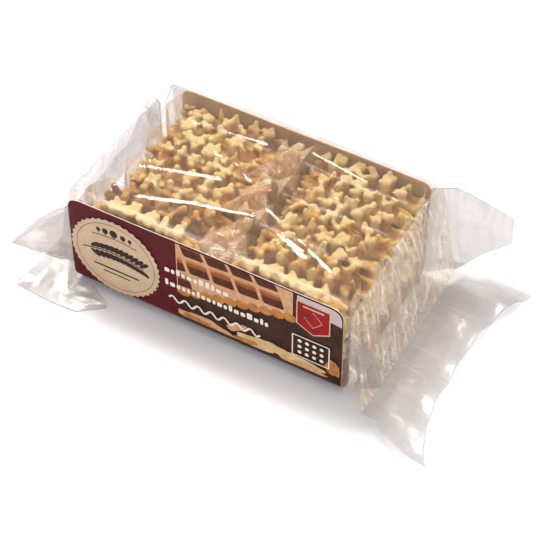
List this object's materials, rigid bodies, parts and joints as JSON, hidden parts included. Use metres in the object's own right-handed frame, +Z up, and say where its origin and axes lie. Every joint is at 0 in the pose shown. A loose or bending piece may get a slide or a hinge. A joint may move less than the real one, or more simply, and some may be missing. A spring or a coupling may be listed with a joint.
{
  "type": "flow-wrapped pack of butter waffles",
  "caption": "Clear film pack of butter waffle biscuits standing on edge in small clear sachets, with a printed card band round its front, base and back and crimped fins at its ends.",
  "frame": {"origin": "bottom centre of the whole pack's box, fins included, on the floor", "axes": "+X along the front to the right, +Y to the back, +Z up"},
  "size_m": [0.278, 0.1634, 0.0787],
  "materials": {
    "clear_film": "thin clear film, glossy, crinkled, with crimped seals",
    "printed_card": "printed card with a soft gloss, maroon with a cream medallion and browns",
    "waffle": "baked butter waffle, pale gold ridges and browner wells"
  },
  "bodies": {
    "root": {"film_bag": "clear_film", "label_band": "printed_card"}
  },
  "joints": []
}
